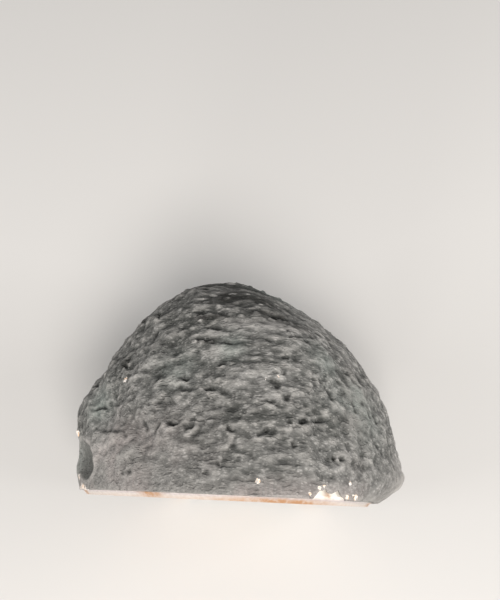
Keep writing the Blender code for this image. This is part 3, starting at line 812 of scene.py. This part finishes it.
MILKY_QUARTZ = (0.95, 0.93, 0.90)
RUST = (0.40, 0.215, 0.105)
wall_material, tree, shader = new_material("banded quartz")
where = add(tree, "TexCoord", output=3)
band = own(tree, "band")
on_face = ranged(tree, band, 0.0, 0.15, 0.0, 0.16)
drift = times(tree, plus(tree, cloud(tree, where, 30.0, 3.0), -0.5), on_face)
fine_drift = times(tree, plus(tree, cloud(tree, where, 260.0, 3.0), -0.5), 0.03)
at = ranged(tree, plus(tree, plus(tree, band, drift), fine_drift), OUTSIDE_BAND, 1.0)
ramp = tree.nodes.new("ShaderNodeValToRGB")
tree.links.new(at, ramp.inputs[0])

# Bands from the rind inward: (place, colour). The first two are the broken quartz in the chip, the bevel goes
# from 0.018 to 0.09, and the first tenth of the face ends at 0.18.
BANDS = (
    (0.000, (0.90, 0.85, 0.76)), (0.008, (0.90, 0.85, 0.76)), (0.018, (0.54, 0.48, 0.46)),
    (0.030, (0.42, 0.36, 0.36)), (0.045, (0.52, 0.46, 0.42)), (0.085, (0.50, 0.41, 0.35)),
    (0.110, (0.56, 0.33, 0.17)), (0.150, (0.48, 0.22, 0.08)), (0.180, (0.70, 0.54, 0.38)),
    (0.220, (0.82, 0.77, 0.70)), (0.255, (0.40, 0.43, 0.44)), (0.310, (0.28, 0.31, 0.34)),
    (0.350, (0.74, 0.71, 0.66)), (0.380, (0.36, 0.39, 0.41)), (0.460, (0.47, 0.47, 0.46)),
    (0.510, (0.80, 0.76, 0.70)), (0.560, (0.52, 0.50, 0.47)), (0.680, (0.72, 0.67, 0.60)),
    (0.830, (0.74, 0.64, 0.50)), (0.930, (0.78, 0.54, 0.28)), (1.000, (0.82, 0.54, 0.24)),
)
ramp.color_ramp.elements[0].position, ramp.color_ramp.elements[1].position = BANDS[0][0], BANDS[-1][0]
ramp.color_ramp.elements[0].color, ramp.color_ramp.elements[1].color = (*BANDS[0][1], 1), (*BANDS[-1][1], 1)
for position, colour in BANDS[1:-1]:
    ramp.color_ramp.elements.new(position).color = (*colour, 1)
milky = ranged(tree, cloud(tree, where, 700.0, 4.0, 0.65), 0.3, 0.7, 0.0, 0.22)
quartz = mixed(tree, milky, ramp.outputs[0], MILKY_QUARTZ)
crumbs = ranged(tree, cloud(tree, where, 420.0, 3.0, 0.6), 0.30, 0.62, 0.25, 1.0)
rusted = maths(tree, "MULTIPLY", times(tree, own(tree, "rusty"), 1.6), crumbs, clamp=True)
quartz = mixed(tree, rusted, quartz, RUST)
tree.links.new(quartz, shader.inputs["Base Color"])
facing = add(tree, "SeparateXYZ", {0: add(tree, "NewGeometry", output=1)}, output=2)
sawn = maths(tree, "LESS_THAN", facing, -0.98)
ground = ranged(tree, band, -0.01, 0.0, 0.45, 0.07)
tree.links.new(maths(tree, "MAXIMUM", times(tree, sawn, 0.55), ground), shader.inputs["Roughness"])
shader.inputs["IOR"].default_value = 1.54

wall.data.materials.clear()
wall.data.materials.append(wall_material)
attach(wall, "root")
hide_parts("quartz_wall")


# ------------------------------------------------------------------ Citrine points
# The hollow is lined with quartz crystals that grew together on its wall and point to its middle. Each is a
# six-sided prism with six sloping end faces, pale at its root and burnt orange at its tip. One grown-together
# crust, cut through and polished with the rest of the front.
POINT_COUNTS = (64, 170)  # large points, and smaller ones between them
POINT_RADII = ((0.0078, 0.0122), (0.0030, 0.0062))
POINT_RISES = ((0.0015, 0.0075), (0.0003, 0.0042))
POINT_TILTS = (0.42, 0.60)
CRUST = 0.0022  # thickness of the crust between the points
CRUST_BACKING = 0.004  # how far its back is built into the wall, before it is cut to the hollow
CRUST_BEHIND_FACE = 0.00005  # its polished cut lies this far behind the wall's
TIP_DEPTH = 0.020  # a point is deepest in colour this far from the hollow's wall
RHOMB_SLOPE = math.radians(51.8)
POINT_KINDS = 7
POINT_SEED = 11


def point_template(rng):
    """A quartz point of radius 1 along +Z, with its prism's top edge at the origin's level."""
    bpy.ops.object.select_all(action="DESELECT")
    bpy.ops.mesh.primitive_cylinder_add(vertices=6, radius=1.0, depth=5.0, location=(0, 0, 0.5))
    template = bpy.context.object
    for k in range(6):
        turn = math.radians(60 * k)
        out = Vector((math.cos(turn), math.sin(turn), 0))
        later = rng.uniform(0.05, 0.35) if k % 2 else rng.uniform(0.0, 0.08)
        normal = out * math.sin(RHOMB_SLOPE) + Vector((0, 0, math.cos(RHOMB_SLOPE)))
        saw(template, out * math.cos(math.pi / 6) + Vector((0, 0, later)), normal)
    mesh = template.data
    bpy.data.objects.remove(template)
    return mesh


rng = random.Random(POINT_SEED)
templates = [point_template(rng) for _ in range(POINT_KINDS)]
golden = math.pi * (3 - math.sqrt(5))
points = []
for size in range(2):
    count = POINT_COUNTS[size]
    for k in range(count):
        back = -0.12 + 1.12 * (k + 0.5) / count
        ring = math.sqrt(1 - back * back)
        turn = golden * k + size * 0.7
        d = np.array([(ring * math.cos(turn), back, ring * math.sin(turn))])
        root = Vector(place(d, hollow_radius(d) - CRUST, HOLLOW_HEART)[0])
        inward = -Vector(d[0]) + POINT_TILTS[size] * Vector([rng.uniform(-1, 1) for _ in range(3)])
        radius = rng.uniform(*POINT_RADII[size])
        rise = rng.uniform(*POINT_RISES[size])
        point = bpy.data.objects.new("point", rng.choice(templates).copy())
        bpy.context.collection.objects.link(point)
        spin = Matrix.Rotation(rng.uniform(0, math.pi), 4, "Z")
        turned = inward.to_track_quat("Z", "Y").to_matrix().to_4x4() @ spin
        size_up = Matrix.Diagonal((radius, radius * rng.uniform(0.8, 1.0), radius, 1))
        point.data.transform(Matrix.Translation(root) @ turned @ Matrix.Translation((0, 0, rise)) @ size_up)
        points.append(point)

crust = add_ball("citrine_points", 5, hollow_radius, HOLLOW_HEART, grown=CRUST_BACKING)
inside = add_ball("inside", 3, hollow_radius, HOLLOW_HEART, grown=-CRUST)
inside.data.flip_normals()
bpy.ops.object.select_all(action="DESELECT")
for obj in [inside, *points]:
    obj.select_set(True)
crust.select_set(True)
bpy.context.view_layer.objects.active = crust
bpy.ops.object.join()
room = add_ball("room_for_crust", 6, hollow_radius, HOLLOW_HEART, grown=SEATED)
saw(room, (0, FACE_Y + CRUST_BEHIND_FACE, 0), (0, -1, 0))
cut(crust, "INTERSECT", room, with_itself=True)
bpy.ops.object.mode_set(mode="EDIT")
bpy.ops.mesh.select_all(action="SELECT")
bpy.ops.mesh.dissolve_limited(angle_limit=math.radians(0.5))
bpy.ops.object.mode_set(mode="OBJECT")
bpy.ops.object.shade_flat()

crust_points = read_points(crust)
toward, distance = seen_from_heart(crust_points.copy(), HOLLOW_HEART)
keep(crust, "tip", np.clip((hollow_radius(toward) - distance) / TIP_DEPTH, 0, 1))

ROOT_COLOUR = (0.95, 0.84, 0.66)
AMBER = (0.95, 0.58, 0.17)
BURNT_ORANGE = (0.90, 0.34, 0.04)
HONEY = (1.0, 0.62, 0.10, 1.0)  # what the light turns to inside a point
HONEY_DENSITY = 60.0
citrine, tree, shader = new_material("citrine")
where = add(tree, "TexCoord", output=3)
veils = cloud(tree, where, 240.0, 4.0, 0.6)
tip = plus(tree, own(tree, "tip"), ranged(tree, cloud(tree, where, 90.0, 2.0), 0.3, 0.7, -0.12, 0.12))
surface = mixed(tree, ranged(tree, tip, 0.04, 0.32), ROOT_COLOUR, AMBER)
surface = mixed(tree, ranged(tree, tip, 0.32, 0.80), surface, BURNT_ORANGE)
tree.links.new(surface, shader.inputs["Base Color"])
tree.links.new(ranged(tree, veils, 0.35, 0.70, 0.84, 0.48), shader.inputs["Transmission Weight"])
tree.links.new(ranged(tree, veils, 0.40, 0.75, 0.02, 0.10), shader.inputs["Roughness"])
shader.inputs["IOR"].default_value = 1.55
absorption = tree.nodes.new("ShaderNodeVolumeAbsorption")
absorption.inputs["Color"].default_value = HONEY
absorption.inputs["Density"].default_value = HONEY_DENSITY
tree.links.new(absorption.outputs[0], tree.nodes["Material Output"].inputs["Volume"])

crust.data.materials.clear()
crust.data.materials.append(citrine)
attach(crust, "root")
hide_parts("citrine_crust")


# ------------------------------------------------------------------ Floor and light
# A plain pale floor, and soft light from large lamps: the main one high in front, so that the back falls into
# shade, a weaker one on each side, and a small one low in front that reaches into the hollow.
bpy.ops.object.select_all(action="DESELECT")
bpy.ops.mesh.primitive_plane_add(size=6.0, location=(0, 0, 0))
floor = bpy.context.object
floor.name = "floor"
floor_material, tree, shader = new_material("pale floor")
shader.inputs["Base Color"].default_value = (0.60, 0.59, 0.575, 1)
shader.inputs["Roughness"].default_value = 0.9
floor.data.materials.append(floor_material)

# Lamps: (name, place, size, watts, colour)
LAMPS = (
    ("key", (0.15, -0.55, 1.10), 0.55, 12.5, (1.0, 0.955, 0.91)),
    ("left fill", (-0.90, -0.10, 0.60), 0.60, 4.6, (1.0, 0.98, 0.96)),
    ("front fill", (-0.22, -0.95, 0.34), 0.25, 2.2, (1.0, 0.97, 0.93)),
    ("right fill", (0.95, 0.05, 0.65), 0.60, 6.4, (1.0, 0.98, 0.96)),
)
for name, lamp_place, size, watts, colour in LAMPS:
    lamp_data = bpy.data.lights.new(name, "AREA")
    lamp_data.size = size
    lamp_data.energy = watts
    lamp_data.color = colour
    lamp = bpy.data.objects.new(name, lamp_data)
    bpy.context.collection.objects.link(lamp)
    lamp.location = lamp_place
    lamp.rotation_euler = (Vector((0, 0, 0.08)) - Vector(lamp_place)).to_track_quat("-Z", "Y").to_euler()
world = bpy.data.worlds.new("studio")
world.use_nodes = True
world.node_tree.nodes["Background"].inputs["Color"].default_value = (0.80, 0.82, 0.85, 1)
world.node_tree.nodes["Background"].inputs["Strength"].default_value = 0.26
bpy.context.scene.world = world

bpy.context.scene.view_settings.view_transform = "Standard"
